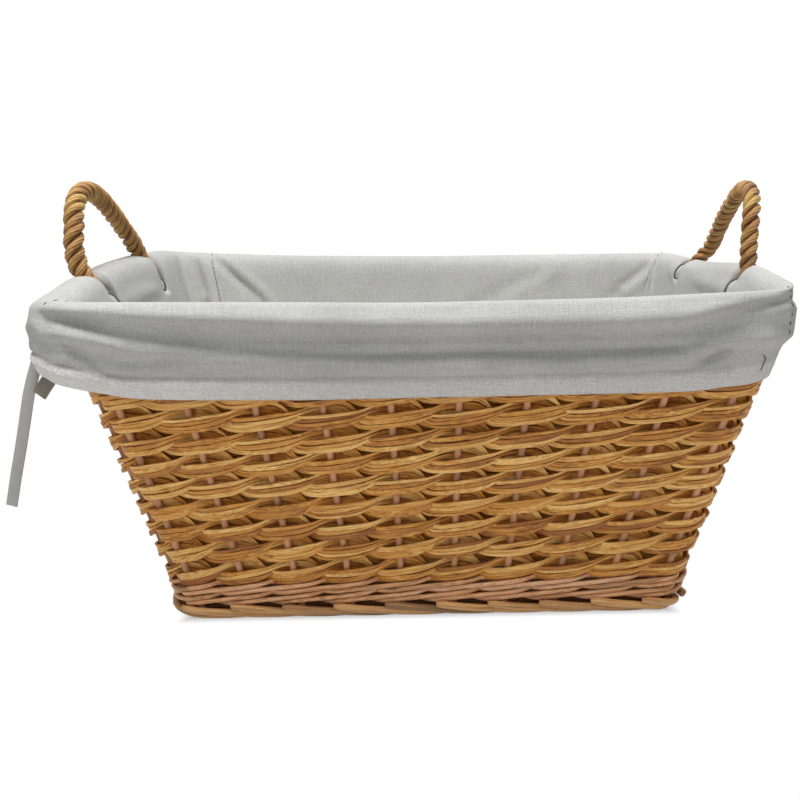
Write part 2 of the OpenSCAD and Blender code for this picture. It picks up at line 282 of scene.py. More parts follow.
def strip_finish(name, dark, middle, pale, grain=1.0, dull=0.38):
    """Split willow: long grain, honey patches and a soft gloss along the bark side."""
    f = Finish(name)
    along, across, _ = f.parts(f.surface_place())
    tone = f.attribute("tone")
    lines = f.noise(f.xyz(along * 22, across * 1300, tone * 40), 1, 3, 0.65)
    fibres = f.noise(f.xyz(along * 70, across * 3600, tone * 90), 1, 2, 0.6)
    patches = f.noise(f.xyz(along * 14, across * 330, tone * 25), 1, 3, 0.6, 0.4)
    mood = f.grey(tone * 0.42 + patches * 0.58, 0.30, 0.70)
    base = f.ramp(mood, [(0.0, dark), (0.42, middle), (1.0, pale)])
    dark_line = f.tint(base, (0.42, 0.27, 0.17))
    veined = f.mix(f.grey(lines, 0.52, 0.62) * 0.9 * grain, base, dark_line)
    pale_line = f.tint(veined, (1.45, 1.42, 1.35))
    lit = f.mix(f.grey(fibres, 0.50, 0.70) * 0.50 * grain, veined, pale_line)
    height = lines * 0.6 + fibres * 0.4
    return f.finish(lit, dull + lines * 0.3, height, 0.7 * grain, 0.0004)


def rod_finish(name, tone_colour, direction, spots=0.5):
    """Peeled round willow whose grain runs along one axis of the basket."""
    f = Finish(name)
    axes = f.parts(f.place())
    stretch = [18.0 if i == direction else 700.0 for i in range(3)]
    grain = f.noise(f.xyz(*[a * s for a, s in zip(axes, stretch)]), 1, 3, 0.6)
    cloud = f.noise(f.place(), 38, 2, 0.5)
    stops = [(0.0, shade(tone_colour, 0.62)), (0.5, tone_colour), (1.0, shade(tone_colour, 1.22))]
    base = f.ramp(f.grey(cloud, 0.3, 0.7), stops)
    veined = f.mix(f.grey(grain, 0.5, 0.72) * 0.5, base, f.tint(base, (0.6, 0.5, 0.42)))
    fleck = f.grey(f.noise(f.place(), 210, 2, 0.6), 0.66, 0.74) * spots
    spotted = f.mix(fleck, veined, shade(tone_colour, 0.28))
    return f.finish(spotted, 0.45 + grain * 0.25, grain, 0.35, 0.0004)


def rope_finish(name, tone_colour):
    """Twisted straw rope: fine fibres along each yarn, and painted shade in the valleys between the
    yarns and where the strands meet.
    """
    f = Finish(name)
    along, across, _ = f.parts(f.surface_place())
    # The tone attribute carries painted shade here: 0 in the valleys between yarns and strands, 1 on
    # their crowns
    depth = f.attribute("tone")
    fibres = f.noise(f.xyz(along * 120, across * 2600, depth * 3), 1, 3, 0.65)
    streaks = f.noise(f.xyz(along * 45, across * 700, 3.0), 1, 2, 0.5)
    cloud = f.noise(f.place(), 60, 2, 0.5)
    stops = [(0.0, shade(tone_colour, 0.36)), (0.45, tone_colour), (1.0, shade(tone_colour, 2.1))]
    base = f.ramp(f.grey(cloud * 0.5 + streaks * 0.5, 0.34, 0.66), stops)
    # Painted shade: the valleys are tinted dark brown
    valley_shaded = f.mix(depth, f.tint(base, (0.24, 0.12, 0.06)), base)
    lit = f.mix(f.grey(fibres, 0.5, 0.72) * 0.6, f.tint(valley_shaded, (0.78, 0.7, 0.62)), valley_shaded)
    return f.finish(lit, 0.5 + fibres * 0.2, fibres * 0.6 + streaks * 0.4, 0.6, 0.0006)


def cloth_finish(name, tone_colour, hem_colour, slub=1.0):
    """Plain-woven cotton: crossed threads with slubs, and faint clouds of wear."""
    f = Finish(name)
    along, across, _ = f.parts(f.surface_place())
    warp = f.noise(f.xyz(along * 1500, across * 75, 0.0), 1, 3, 0.7)
    weft = f.noise(f.xyz(along * 75, across * 1500, 7.0), 1, 3, 0.7)
    nap = f.noise(f.xyz(along * 700, across * 700, 3.0), 1, 3, 0.7)
    cloud = f.noise(f.place(), 14, 3, 0.55)
    threads = warp * 0.5 + weft * 0.5
    plain = f.mix(f.grey(cloud, 0.3, 0.7), shade(tone_colour, 0.90), shade(tone_colour, 1.05))
    base = f.mix(f.attribute("tone"), plain, tuple(hem_colour))
    dark, light = f.tint(base, (0.64, 0.64, 0.63)), f.tint(base, (1.12, 1.12, 1.12))
    woven = f.mix(f.grey(threads * 0.6 + nap * 0.4, 0.38, 0.62), dark, light)
    weave = f.mix(0.9 * slub, base, woven)
    return f.finish(weave, 0.9, threads * 0.7 + nap * 0.3, 0.55 * slub, 0.0005)


def thread_finish(name, tone_colour):
    """Sewing thread with a faint mottle."""
    f = Finish(name)
    mottle = f.noise(f.place(), 600, 2, 0.5)
    base = f.mix(mottle, shade(tone_colour, 0.8), shade(tone_colour, 1.2))
    return f.finish(base, 0.8)


# ---------- meshes ----------

SHARP_ANGLE = 35


def colours():
    return bpy.context.scene.basket_colours


def sizes():
    return bpy.context.scene.basket_sizes


def chance(salt):
    """A source of chance that gives the same draws every time."""
    return random.Random(sizes().grain_seed * 1000 + salt)


def paint(obj, material):
    """Gives an object one finish all over."""
    obj.data.materials.clear()
    obj.data.materials.append(material)


def dress(obj, material, body, slot, *nodes):
    """Gives a piece its finish, its body and the nodes that it stands for."""
    paint(obj, material)
    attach(obj, body)
    if nodes:
        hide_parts(*nodes)
    return obj


def paint_node(name, material):
    """Gives a frame node a better finish."""
    paint(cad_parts[name], material)


def make_object(name, points, faces, uvs, tones):
    """A mesh object from points, faces, a UV for each face corner and a tone for each point."""
    mesh = bpy.data.meshes.new(name)
    mesh.from_pydata(points, [], faces)
    lay = mesh.uv_layers.new(name="Lay")
    lay.data.foreach_set("uv", np.asarray(uvs, np.float32).ravel())
    tone = mesh.attributes.new("tone", "FLOAT", "POINT")
    tone.data.foreach_set("value", np.asarray(tones, np.float32))
    mesh.polygons.foreach_set("use_smooth", [True] * len(mesh.polygons))
    mesh.validate()
    obj = bpy.data.objects.new(name, mesh)
    bpy.context.collection.objects.link(obj)
    return obj


def face_outward(obj):
    """Turns every face of a closed shell to its outside."""
    bpy.ops.object.select_all(action="DESELECT")
    bpy.context.view_layer.objects.active = obj
    obj.select_set(True)
    bpy.ops.object.mode_set(mode="EDIT")
    bpy.ops.mesh.select_all(action="SELECT")
    bpy.ops.mesh.normals_make_consistent(inside=False)
    bpy.ops.object.mode_set(mode="OBJECT")
    obj.select_set(False)


def crisp_edges(obj):
    """Shades a shell smooth, apart from its sharp edges."""
    bpy.context.view_layer.objects.active = obj
    obj.select_set(True)
    bpy.ops.object.shade_smooth_by_angle(angle=math.radians(SHARP_ANGLE))
    obj.select_set(False)


def tubes(name, parts, closed):
    """One object of several tubes. A part is its rings of points, how far along each
    ring lies, how far across each side lies, and the tone of each ring and side."""
    points, faces, uvs, tones = [], [], [], []
    for rings, along, across, tone in parts:
        first = sum(len(p) for p in points)
        count, sides = rings.shape[:2]
        points.append(rings.reshape(-1, 3))
        tones.append(np.broadcast_to(tone, (count, sides)).ravel())
        i, j = np.indices((count if closed else count - 1, sides)).reshape(2, -1)
        corners = ((i, j), (i, j + 1), (i + 1, j + 1), (i + 1, j))
        quads = np.stack([a % count * sides + b % sides for a, b in corners], 1)
        faces.extend((quads + first).tolist())
        places = np.stack([np.stack([along[a], across[b]], -1) for a, b in corners], 1)
        uvs.append(places.reshape(-1, 2))
        if not closed:
            for end in (0, count - 1):
                faces.append([first + end * sides + k for k in range(sides)])
                uvs.append(np.stack([np.full(sides, along[end]), across[:sides]], -1))
    obj = make_object(name, np.concatenate(points), faces, np.concatenate(uvs), np.concatenate(tones))
    face_outward(obj)
    return obj


def cloth_noise(g, z, scale_g, scale_z, seed):
    """Chance swells on the wall, between -1 and 1, without a seam round the basket."""
    wide = scale_g * STAKES / (2 * math.pi)
    turns = g / STAKES * 2 * math.pi
    places = zip(turns.ravel(), z.ravel())
    values = [
        noise.noise(Vector((wide * math.cos(a), wide * math.sin(a), b * scale_z + seed)))
        for a, b in places
    ]
    return np.array(values).reshape(g.shape)


def drift(g, seed, scale):
    """Gentle chance wandering along a strand, between -1 and 1."""
    return cloth_noise(g, 0 * g, scale, 0, seed * 7.31)


def line_noise(places, scale, seed, layer):
    """Chance values along a line, between -1 and 1."""
    return np.array([noise.noise(Vector((a * scale, seed, layer))) for a in places])


def unit(vectors):
    return vectors / np.linalg.norm(vectors, axis=-1, keepdims=True)


def distances(line):
    """How far along a line each of its points is."""
    return np.concatenate([[0], np.cumsum(np.linalg.norm(np.diff(line, axis=0), axis=1))])


def evenly(line, count):
    """Evenly spaced points on a line, and how far along it each of them is."""
    far = distances(line)
    even = np.linspace(0, far[-1], count)
    return np.stack([np.interp(even, far, column) for column in line.T], -1), even


def smoothed(line, reach, **edge):
    """A line whose points are moved to the mean of their neighbours within reach."""
    pad = np.pad(line, ((reach, reach), (0, 0)), **edge)
    count = 2 * reach + 1
    return sum(pad[k : k + len(line)] for k in range(count)) / count


def bell(value, wide):
    """1 at 0, falling to nothing on both sides."""
    return np.exp(-((value / wide) ** 2))


def round_section(radius, sides):
    angles = np.arange(sides) / sides * 2 * math.pi
    return radius * np.stack([np.sin(angles), np.cos(angles)], -1)


def round_girth(radius, sides):
    """How far round a rod each of its sides lies."""
    return np.arange(sides + 1) / sides * 2 * math.pi * radius


def flat_section(width, thickness):
    """The corners of a split strip: a flat back, a face and two narrow chamfers."""
    w, t = width / 2, thickness / 2
    return np.array([(-w, -t), (-w, t * 0.5), (-w * 0.88, t), (w * 0.88, t), (w, t * 0.5), (w, -t)])


def flat_girth(section):
    """How far across a strip each of its corners lies."""
    return np.append(section[:, 0], section[0, 0])


# ---------- woven strips ----------

STEPS = 10
ROUND = np.arange(STAKES * STEPS) / STEPS
STAKE_PITCH = 0.046
# How far the rows settle below their solids, and the lowest row once more
ROW_DROP = 0.0042
FIRST_ROW_DROP = 0.0020
# Strips with no woven counterpart, laid behind the gaps as painted shade: their width, their distance
# from the wall and their height
BACKING_WIDTH = 0.0095
BACKING_OUT = -0.0064
BACKING_RISE = 0.42
# How many strips a strand is split into, by chance
SPLITS = (2, 3, 3, 4)


def round_and_round(p, points, period):
    """A smooth value at phase p that repeats after a period of stakes."""
    x, y = np.array(points).T
    fine = np.arange(240) * period / 240
    raw = np.interp(fine, x - x[0], y, period=period)
    spread = bell(np.minimum(fine, period - fine), 0.055 * period)
    soft = np.real(np.fft.ifft(np.fft.fft(raw) * np.fft.fft(spread / spread.sum())))
    return np.interp((p - x[0]) % period, fine, soft, period=period)


# How far out and up a strand is and how wide, by stakes past the middle of its float
STRAND_OUT = ((-0.75, -0.8), (-0.6, -0.45), (-0.45, 0.05), (-0.3, 0.6), (-0.15, 0.95), (0.0, 1.0),
              (0.3, 1.0), (0.5, 0.78), (0.66, 0.30), (0.8, -0.45), (1.0, -1.0), (1.25, -0.8))
STRAND_UP = ((-0.5, -0.66), (-0.25, -0.52), (0.0, -0.30), (0.3, 0.06), (0.5, 0.46), (0.65, 0.90),
             (0.8, 1.25), (1.0, 1.38), (1.2, 1.28), (1.35, 1.0), (1.44, 0.3), (1.5, -0.66))
STRAND_WIDE = ((-0.5, 0.80), (-0.25, 0.82), (0.3, 0.84), (0.5, 0.66), (0.65, 0.46), (0.8, 0.7),
               (1.0, 1.1), (1.2, 1.3), (1.35, 1.5), (1.44, 1.4), (1.5, 0.80))


def row_height(row):
    return FIRST_ROW - ROW_DROP + (row - 1) * ROW_PITCH


def lay_length(g):
    """How far round the basket each point of a strand is, with its start once more."""
    return np.arange(len(g) + 1) / STEPS * STAKE_PITCH


def weave_strand(row, strand):
    """The strips of one strand of a paired row, one tube for each strip."""
    s = sizes()
    luck = chance(row * 10 + strand)
    g = ROUND
    p = (g - strand + 1) % 2 - 1
    middle_z = row_height(row) - (FIRST_ROW_DROP if row == 1 else 0)
    lively = 1 + 0.25 * drift(g, row * 3 + strand, 0.8)
    out = s.strip_out * round_and_round(p, STRAND_OUT, 2)
    rise = s.strip_rise * lively * round_and_round(p, STRAND_UP, 2)
    rise = rise + drift(g, row * 3 + strand + 200, 0.5) * 0.0009
    squeeze = round_and_round(p, STRAND_WIDE, 2)
    count = luck.choice(SPLITS)
    shares = np.array([luck.uniform(0.75, 1.3) for _ in range(count)])
    shares /= shares.sum()
    starts = np.cumsum(shares) - shares / 2 - 0.5
    parts = []
    for number in range(count):
        seed = row * 17 + strand * 5 + number * 1.7
        wander = drift(g, seed, 1.3) * 0.0008
        depth = drift(g, seed + 40, 1.0) * 0.0006 + luck.uniform(-0.0004, 0.0004)
        swell = 0.93 + 0.20 * drift(g, seed + 80, 0.7)
        section = flat_section(s.strip_width * shares[number], s.strip_thickness)
        across = starts[number] * s.strip_width * squeeze + wander
        a = section[:, 0] * (squeeze * swell)[:, None] + across[:, None]
        b = section[:, 1] + 0 * a
        roll = (0.10 * np.sin(math.pi * p) + 0.16 * drift(g, seed + 60, 0.9))[:, None]
        rings = ring(
            g[:, None],
            out[:, None] + depth[:, None] + b * np.cos(roll) - a * np.sin(roll),
            middle_z + rise[:, None] + a * np.cos(roll) + b * np.sin(roll),
        )
        tone = 0.5 + 0.45 * drift(g, seed + 11, 0.5) + luck.uniform(-0.3, 0.3)
        parts.append((rings, lay_length(g), flat_girth(section) + number * 0.02, tone[:, None]))
    return parts


def gap_shade_strip(row, middle_z, width, tone):
    """A split strip that runs straight round behind the stakes, in the gap above a row: painted shade
    for the gaps, in place of the liner seen through them.
    """
    section = flat_section(width, sizes().strip_thickness)
    wander = drift(ROUND, row * 3 + 400, 0.7)[:, None] * 0.0010
    out = BACKING_OUT + section[:, 1] + wander * 0.3
    rings = ring(ROUND[:, None], out, middle_z + wander + section[:, 0])
    tone = tone + 0.5 * drift(ROUND, row + 420, 0.5)
    return rings, lay_length(ROUND), flat_girth(section), tone[:, None]


class BASKET_OT_weave(bpy.types.Operator):
    """Weaves the ten rows of paired split strips."""

    bl_idname = "basket.weave"
    bl_label = "Weave the rows"

    def execute(self, context):
        c = colours()
        finish = strip_finish("willow_strip", c.toffee, c.honey, c.straw)
        for row in range(1, ROWS + 1):
            name = f"weave_row_{row:02d}"
            parts = weave_strand(row, 0) + weave_strand(row, 1)
            if row < ROWS - 1:
                # A strip toned darker than the strands' mean, painted shade behind each gap
                parts.append(gap_shade_strip(row, row_height(row + BACKING_RISE), BACKING_WIDTH, 0.30))
            strips = tubes(f"strips_{row:02d}", parts, True)
            crisp_edges(strips)
            dress(strips, finish, "basket", "willow_strip", name)
        return {"FINISHED"}


# ---------- wale ----------


WALE_SPAN = 3
WALE_Z = 0.0178
WALE_PITCH = 0.0088
WALE_SIDES = 10
WALE_BACKING = 0.0078


def wale_course(number):
    """One course of three rods: each passes outside two stakes and inside the third."""
    s = sizes()
    middle_z = WALE_Z + number * WALE_PITCH
    g = np.arange(STAKES * WALE_SPAN * STEPS) / STEPS
    p = (g + 0.5 + number) % WALE_SPAN - 0.5
    outside = np.clip(np.minimum(p + 0.5, 1.5 - p) / 0.36, 0, 1)
    inside = p > 1.5
    reach = STAKE_R + s.wale_radius + 0.0003
    behind = -reach * np.sin(math.pi * np.clip(p - 1.5, 0, 1)) ** 0.7
    out = np.where(inside, behind, reach * np.sin(outside * math.pi / 2) ** 0.8)
    rise = s.wale_radius * 2.15
    steady = rise * (p - 0.5) * (1 - 0.12 * np.cos(math.pi * (p - 0.5)))
    climb = np.where(inside, rise * np.cos(math.pi * (p - 1.5)), steady)
    seed = 300 + number * 30
    thick = 1 + 0.16 * line_noise(g, 0.35, seed, 0)
    thick = thick * np.where(inside, 1 + 0.7 * np.sin(math.pi * np.clip(p - 1.5, 0, 1)), 1)
    wander = line_noise(g, 0.8, seed, 5) * 0.0005
    offset = round_section(s.wale_radius, WALE_SIDES)[None] * thick[:, None, None]
    out = (out + wander)[:, None] + offset[..., 0]
    rings = ring(g[:, None], out, (middle_z + climb + wander)[:, None] + offset[..., 1])
    tone = 0.5 + 0.5 * line_noise(g, 0.3, seed, 9)
    return rings, lay_length(g), round_girth(s.wale_radius, WALE_SIDES), tone[:, None]


class BASKET_OT_wale(bpy.types.Operator):
    """Weaves the two courses of peeled rods above the foot."""

    bl_idname = "basket.wale"
    bl_label = "Weave the wale"

    def execute(self, context):
        c = colours()
        creamy = tuple(0.25 + 0.75 * v for v in c.rod)
        # The ramp's dark end is the rods' darkest tone, and also the painted shade of the dark strip
        # behind the wale
        finish = strip_finish("peeled_rod", shade(c.rod, 0.30), shade(c.rod, 0.95), creamy, 0.8, 0.28)
        for number, name in enumerate(("wale_lower", "wale_upper")):
            backing_z = WALE_Z + (number - 0.2) * WALE_PITCH
            # A dark strip behind each course, its tone set low so that it paints the shade in the gaps
            # of the wale
            wale_gap_shade = gap_shade_strip(-number, backing_z, WALE_BACKING, -0.25)
            rods = tubes(f"{name}_rods", [wale_course(number), wale_gap_shade], True)
            dress(rods, finish, "basket", "willow_rod", name)
        return {"FINISHED"}


# ---------- foot ----------

FOOT_SIDES = 12
FOOT_STEPS = 14
# A foot rod's cut end, in stakes past its own stake and as a height, and its run in stakes
FOOT_CUT = -0.34
FOOT_CUT_Z = 0.0128
FOOT_RUN = 2.15
WALL_NAMES = ("front", "right", "back", "left")


def foot_rod(stake, radius, luck):
    """One rod of the foot: cut at its upper end, it bends down past two stakes."""
    g = stake + FOOT_CUT + np.linspace(0, 1, FOOT_STEPS) * FOOT_RUN
    p = g - stake
    start = FOOT_CUT_Z + luck.uniform(-0.0007, 0.0007)
    falls = (start, start - 0.0032, 0.0050, 0.0034, 0.0030)
    fall = np.interp(p, (FOOT_CUT, 0.15, 1.0, 1.45, 1.9), falls)
    fall = np.convolve(np.pad(fall, 1, mode="edge"), (0.25, 0.5, 0.25), "valid")
    out = np.interp(p, (FOOT_CUT, 0.2, 1.0, 1.9), (0.0092, 0.0078, 0.0044, 0.0004))
    tapers = (0.72, 0.94, 1.0, 0.97, 0.92, 0.80)
    thick = radius * np.interp(p, (FOOT_CUT, -0.325, -0.29, 1.0, 1.5, 1.9), tapers)
    offset = round_section(1.0, FOOT_SIDES)[None] * thick[:, None, None]
    lean = offset[..., 1] * 0.2
    height = np.maximum(fall[:, None] + offset[..., 1], 0.0)
    rings = ring(g[:, None] - lean / STAKE_PITCH, out[:, None] + offset[..., 0], height)
    along = stake * 0.3 + p * STAKE_PITCH
    return rings, along, round_girth(radius, FOOT_SIDES), luck.uniform(0.1, 0.9)


class BASKET_OT_foot(bpy.types.Operator):
    """Lays the cut rods of the foot like shingles round the base."""

    bl_idname = "basket.foot"
    bl_label = "Lay the foot"

    def execute(self, context):
        c = colours()
        finish = strip_finish("foot_rod", shade(c.foot, 0.45), c.foot, shade(c.foot, 1.5), 0.8)
        luck = chance(500)
        for wall, name in enumerate(WALL_NAMES):
            stakes = int(WALL_STARTS[wall]) + np.arange(WALLS[wall])
            parts = [foot_rod(stake, sizes().foot_radius, luck) for stake in stakes]
            rods = tubes(f"foot_rods_{name}", parts, False)
            dress(rods, finish, "basket", "willow_stake", f"foot_{name}")
        return {"FINISHED"}


# ---------- frame pieces ----------


class BASKET_OT_frame(bpy.types.Operator):
    """Finishes the stakes, the base mat and the rods of the rim."""

    bl_idname = "basket.frame"
    bl_label = "Finish the stakes and rim"

    def execute(self, context):
        c = colours()
        upright = rod_finish("stake_wood", c.stake, 2, 0.3)
        for name in WALL_NAMES:
            paint_node(f"stakes_{name}", upright)
        lengthwise = rod_finish("rim_wood", shade(c.stake, 0.95), 0)
        for name in ("rim_inner_hoop", "rim_outer_hoop", "rim_top_rod"):
            paint_node(name, lengthwise)
        # The base mat is painted at 0.6 of the darkest strip colour: painted shade for the gaps under
        # the foot, darker than its wood
        paint_node("base_sticks", rod_finish("mat_stick_painted_shade", shade(c.toffee, 0.6), 0))
        paint_node("base_strips", rod_finish("mat_strip_painted_shade", shade(c.toffee, 0.6), 1, 0.3))
        return {"FINISHED"}


# ---------- rope handles ----------

ROPE_STRANDS = 3
YARNS = 5
# The yarns' lay as a share of the strands' lay
YARN_LAY = 1.6
ROPE_SIDES = 24
ROPE_STEPS = 260
# Each rope's middle line: outwards from the rod, along it and above it
ROPE_ROUTES = {
    "left": (
        (0.0016, -0.0718, 0.0080), (0.0034, -0.0718, 0.0140), (0.0100, -0.0722, 0.0205),
        (0.0166, -0.0734, 0.0321), (0.0170, -0.0728, 0.0447), (0.0170, -0.0693, 0.0562),
        (0.0175, -0.0655, 0.0657), (0.0185, -0.0570, 0.0757), (0.0190, -0.0410, 0.0825),
        (0.0185, -0.0215, 0.0840), (0.0175, -0.0006, 0.0793), (0.0150, 0.0208, 0.0683),
        (0.0120, 0.0377, 0.0558), (0.0090, 0.0558, 0.0426), (0.0062, 0.0668, 0.0296),
        (0.0038, 0.0710, 0.0180), (0.0016, 0.0715, 0.0080),
    ),
    "right": (
        (0.0016, -0.0715, 0.0080), (0.0028, -0.0715, 0.0160), (0.0029, -0.0700, 0.0255),
        (0.0040, -0.0670, 0.0352), (0.0052, -0.0645, 0.0450), (0.0066, -0.0615, 0.0545),
        (0.0084, -0.0570, 0.0635), (0.0104, -0.0470, 0.0708), (0.0124, -0.0300, 0.0742),
        (0.0139, -0.0090, 0.0715), (0.0149, 0.0090, 0.0640), (0.0149, 0.0245, 0.0550),
        (0.0152, 0.0390, 0.0460), (0.0160, 0.0550, 0.0350), (0.0156, 0.0660, 0.0250),
        (0.0060, 0.0705, 0.0150), (0.0016, 0.0715, 0.0080),
    ),
}
ROPE_LIFT = 1.034
ROPE_SWELLS = {"left": 1.07, "right": 0.93}
HANDLE_SIDES = (("left", -1), ("right", 1))


def rope_path(name, side):
    """The middle line of a handle's rope, and how far along it each point is."""
    out, y, up = np.array(ROPE_ROUTES[name]).T
    line = np.stack([side * (RIM_X + out), y, RIM_Z + up * ROPE_LIFT], -1)
    for _ in range(3):
        line, even = evenly(line, ROPE_STEPS)
        line = smoothed(line, 6, mode="reflect", reflect_type="odd")
    return line, even


def rope_strands(name, side):
    """The three strands of a handle's rope, each with its yarns."""
    s = sizes()
    path, length = rope_path(name, side)
    tangent = unit(np.gradient(path, axis=0))
    sideways = unit(np.array([1.0, 0, 0]) - tangent * tangent[:, :1])
    up = np.cross(tangent, sideways)
    rope_r = s.rope_radius * ROPE_SWELLS[name]
    to_end = np.minimum(length, length[-1] - length)
    slim = np.interp(to_end, (0, 0.012, 0.030), (0.86, 0.94, 1.0))
    strand_r = rope_r / (1 + 2 / math.sqrt(3)) * 1.10
    orbit = (rope_r - strand_r) * slim
    angles = np.arange(ROPE_SIDES) / ROPE_SIDES * 2 * math.pi
    parts = []
    for number in range(ROPE_STRANDS):
        seed = number * 3.3 + side * 20
        sway = line_noise(length, 45, seed, 4)
        swell = slim * (1 + 0.13 * line_noise(length, 70, seed, 0))
        phase = -2 * math.pi * (length / s.rope_lay + number / ROPE_STRANDS) + 0.5 * sway
        ray = np.cos(phase)[:, None] * up + np.sin(phase)[:, None] * sideways
        centre = path + (orbit * (1 + 0.1 * sway))[:, None] * ray
        lean = 2 * math.pi * orbit / s.rope_lay
        twist = 2 * math.pi * length / (s.rope_lay * YARN_LAY)
        lobe = np.abs(np.cos(YARNS / 2 * (angles[None] + twist[:, None])))
        radius = strand_r * (0.87 + 0.15 * lobe) * swell[:, None]
        a = angles[None] + phase[:, None]
        flat = np.cos(a)[..., None] * up[:, None] + np.sin(a)[..., None] * sideways[:, None]
        # A strand lies slantwise, so its round section is stretched across the lay
        slant = np.cross(tangent, ray)
        stretch = (flat * slant[:, None]).sum(-1)[..., None] * slant[:, None]
        flat = flat + stretch * (np.sqrt(1 + lean**2) - 1)[:, None, None] * 0.55
        rings = centre[:, None] + radius[..., None] * flat
        girth = round_girth(strand_r, ROPE_SIDES)
        # The tone paints shade: dark in the grooves between yarns and on the inner side of each strand,
        # where the strands meet
        outward = np.clip(np.cos(angles)[None] * 0.75 + 0.42, 0, 1)
        parts.append((rings, length, girth, np.clip(0.05 + 1.1 * lobe, 0, 1) * outward))
    return parts


# The sleeves: their middle and half length along the rod, radius, cloth and reach round it
SLOT_MIDDLE = 0.0722
SLEEVE_HALF = 0.0165
SLEEVE_RADIUS = 0.0108
SLEEVE_THICKNESS = 0.0008
SLEEVE_REACH = 98
SLEEVE_STEPS = 15
SLEEVE_SIDES = 29
# How far from the rod's middle the liner keeps over a sleeve
SLEEVE_CLEARANCE = 0.0128


def sleeve(name, side):
    """A cloth sleeve round the rod at each eye of a handle, turning with it under the slots."""
    turns = np.radians(np.linspace(-SLEEVE_REACH, SLEEVE_REACH, SLEEVE_SIDES))
    parts = []
    for end in (-1, 1):
        y = np.linspace(-SLEEVE_HALF, SLEEVE_HALF, SLEEVE_STEPS)[:, None] + end * SLOT_MIDDLE
        outer = SLEEVE_RADIUS + 0.00025 * np.sin(y * 1400 + 2 * turns)
        radius = np.concatenate([outer, outer[:, ::-1] - SLEEVE_THICKNESS], 1)
        angle = np.concatenate([turns, turns[::-1]])
        x = side * (RIM_X + radius * np.sin(angle))
        rings = np.stack([x, y + 0 * x, RIM_Z + radius * np.cos(angle)], -1)
        along = np.arange(SLEEVE_STEPS) * 2 * SLEEVE_HALF / SLEEVE_STEPS
        sides = np.arange(rings.shape[1] + 1) * 0.0013
        parts.append((rings, along, sides, 0.0))
    return tubes(name, parts, False)


class BASKET_OT_handles(bpy.types.Operator):
    """Lays the rope of each handle."""

    bl_idname = "basket.handles"
    bl_label = "Lay the rope handles"

    def execute(self, context):
        finish = rope_finish("straw_rope", colours().rope)
        cloth = cloth_finish("sleeve_cloth", colours().cloth, colours().hem)
        for name, side in HANDLE_SIDES:
            rope = tubes(f"rope_{name}", rope_strands(name, side), False)
            dress(rope, finish, f"handle_{name}", "rope", f"handle_{name}_rope")
            dress(sleeve(f"sleeve_{name}", side), cloth, f"handle_{name}", "cotton_cloth")
            paint_node(f"handle_{name}_eyes", rod_finish(f"eye_{name}", colours().rope, 1, 0.2))
        return {"FINISHED"}


# ---------- liner ----------

COLUMNS = 12
BAND_ROWS = 96
# The cloth's section, out from the wall's middle and up: its inside, crest and cuff
INSIDE = ((-0.0125, 0.0125), (-0.0132, 0.030), (-0.0138, 0.080), (-0.0130, 0.140),
          (-0.0122, 0.190), (-0.0120, 0.215), (-0.0118, 0.228))
CREST = ((-0.0100, 0.2365), (-0.0055, 0.2405), (0.0, 0.2418), (0.0055, 0.2408), (0.0100, 0.2368))
CUFF = ((0.0133, 0.2308), (0.0150, 0.2245), (0.0144, 0.2180), (0.0124, 0.2110), (0.0122, 0.2045),
        (0.0138, 0.1960), (0.0147, 0.1900), (0.0146, 0.1840), (0.0140, 0.1780), (0.0132, 0.1720))
CREST_TOP = 0.2418
CUFF_TOP = 0.236
CUFF_HEM = 0.172
# How far the cloth lies above its section, and its floor inside the wall's middle
CLOTH_LIFT = 0.0026
FLOOR_INSET = 0.0119
# How far the hem stands out, and the groove along its top goes in
HEM_STEP = 0.0015
HEM_GROOVE = 0.0034
# How far the cloth keeps from the rod, from the wall's middle and from the hoops
ROD_GAP = 0.0018
OUTER_REACH = 0.0068
INNER_REACH = 0.0066
HOOP_BULGE = 0.0044
# The corner seams, as stakes round the wall
SEAMS = (9.46, 16.5, 25.52, 33.46)
# How many grid rows from the crest their stitches reach: inside, outside and at the front right
INNER_SEAM_ROWS = 26
SEAM_ROWS = 3
FRONT_SEAM_ROWS = 14
# Where the front right seam ends in a few curved stitches
CATCH_STAKE = 9.17
CATCH_Z = 0.200

# Heights that the cloth gains at the crest and at the hem, by stakes round the wall
CREST_LIFT = ((0, 0.0012), (2, -0.0010), (4.3, -0.0042), (7, -0.0040), (9, -0.0012), (9.8, 0.0004),
              (10.4, 0.0034), (11.0, 0.0070), (11.7, 0.0080), (12.6, 0.0048), (13.6, 0.0015),
              (17, 0.0), (21.5, 0.0020), (24, 0.0055), (26, 0.0110), (27, 0.0145), (28.5, 0.0165),
              (30, 0.0155), (31.4, 0.0120), (32.4, 0.0065), (33, 0.0032), (34, 0.0012))
HEM_LIFT = ((0, 0.0090), (0.7, 0.0060), (2.7, 0.0036), (6.5, 0.0032), (8.5, 0.0036), (9.3, 0.0070),
            (9.7, 0.0110), (10.5, 0.0115), (13, 0.0045), (17, 0.0070), (21, 0.0040), (26, 0.0070),
            (28, 0.0060), (30.5, 0.0090), (32.2, 0.0190), (33.2, 0.0260), (33.6, 0.0220), (34, 0.0090))
# How far the cloth stands out beyond its section, round the wall
BULGE = ((0, 0.0010), (1, 0.0), (8.5, -0.0012), (9.5, -0.0090), (10.5, -0.0100), (14, -0.0060),
         (17, 0.0), (26, 0.0010), (27.2, 0.0050), (30, 0.0070), (32.5, 0.0066), (33.3, 0.0050),
         (34, 0.0010))
# How fast it leaves the wall below the crest
FLARE = ((0, 0.0), (8.7, 0.0), (9.2, -0.30), (10.0, -0.36), (11, -0.12), (14, -0.05), (17, 0.0),
         (26, 0.0), (27.2, 0.08), (30, 0.14), (32.2, 0.32), (33.3, 0.30), (34, 0.0))

